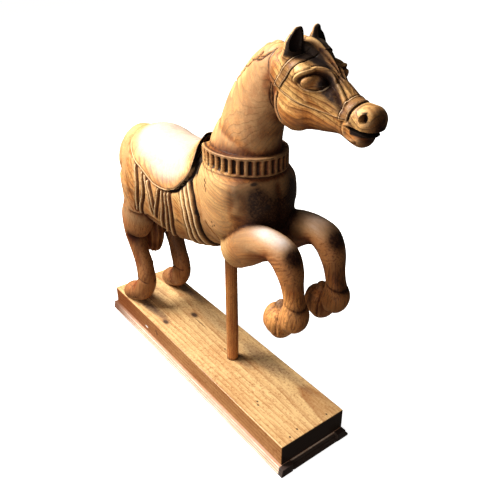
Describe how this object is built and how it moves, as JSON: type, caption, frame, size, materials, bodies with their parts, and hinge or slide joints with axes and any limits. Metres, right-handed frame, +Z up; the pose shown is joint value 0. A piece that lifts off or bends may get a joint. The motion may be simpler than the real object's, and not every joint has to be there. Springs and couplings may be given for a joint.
{
  "type": "carousel horse",
  "caption": "Carved wooden carousel horse, prancing, with saddle and fluted collar, on a round pole and a block base over a moulded plinth.",
  "frame": {"origin": "middle of the whole figure's underside, on the surface it stands on", "axes": "+X towards the horse's nose, along the base; +Y to the horse's left; +Z up"},
  "size_m": [0.8879, 0.204, 0.9111],
  "materials": {
    "horse_wood": "carved honey-brown wood with visible growth rings, hand-rubbed, worn and darker on the legs, hooves and chest",
    "pole_wood": "turned orange-brown dowel, satin",
    "block_wood": "sawn and waxed pine with lengthwise grain, knots, nail holes and pale worn edges",
    "moulding_wood": "planed moulding, satin, worn pale on its ridges"
  },
  "bodies": {
    "root": {"horse": "horse_wood", "pole": "pole_wood", "base_block": "block_wood", "plinth_moulding_right": "moulding_wood", "plinth_moulding_left": "moulding_wood", "plinth_moulding_front": "moulding_wood", "plinth_moulding_back": "moulding_wood"}
  },
  "joints": []
}
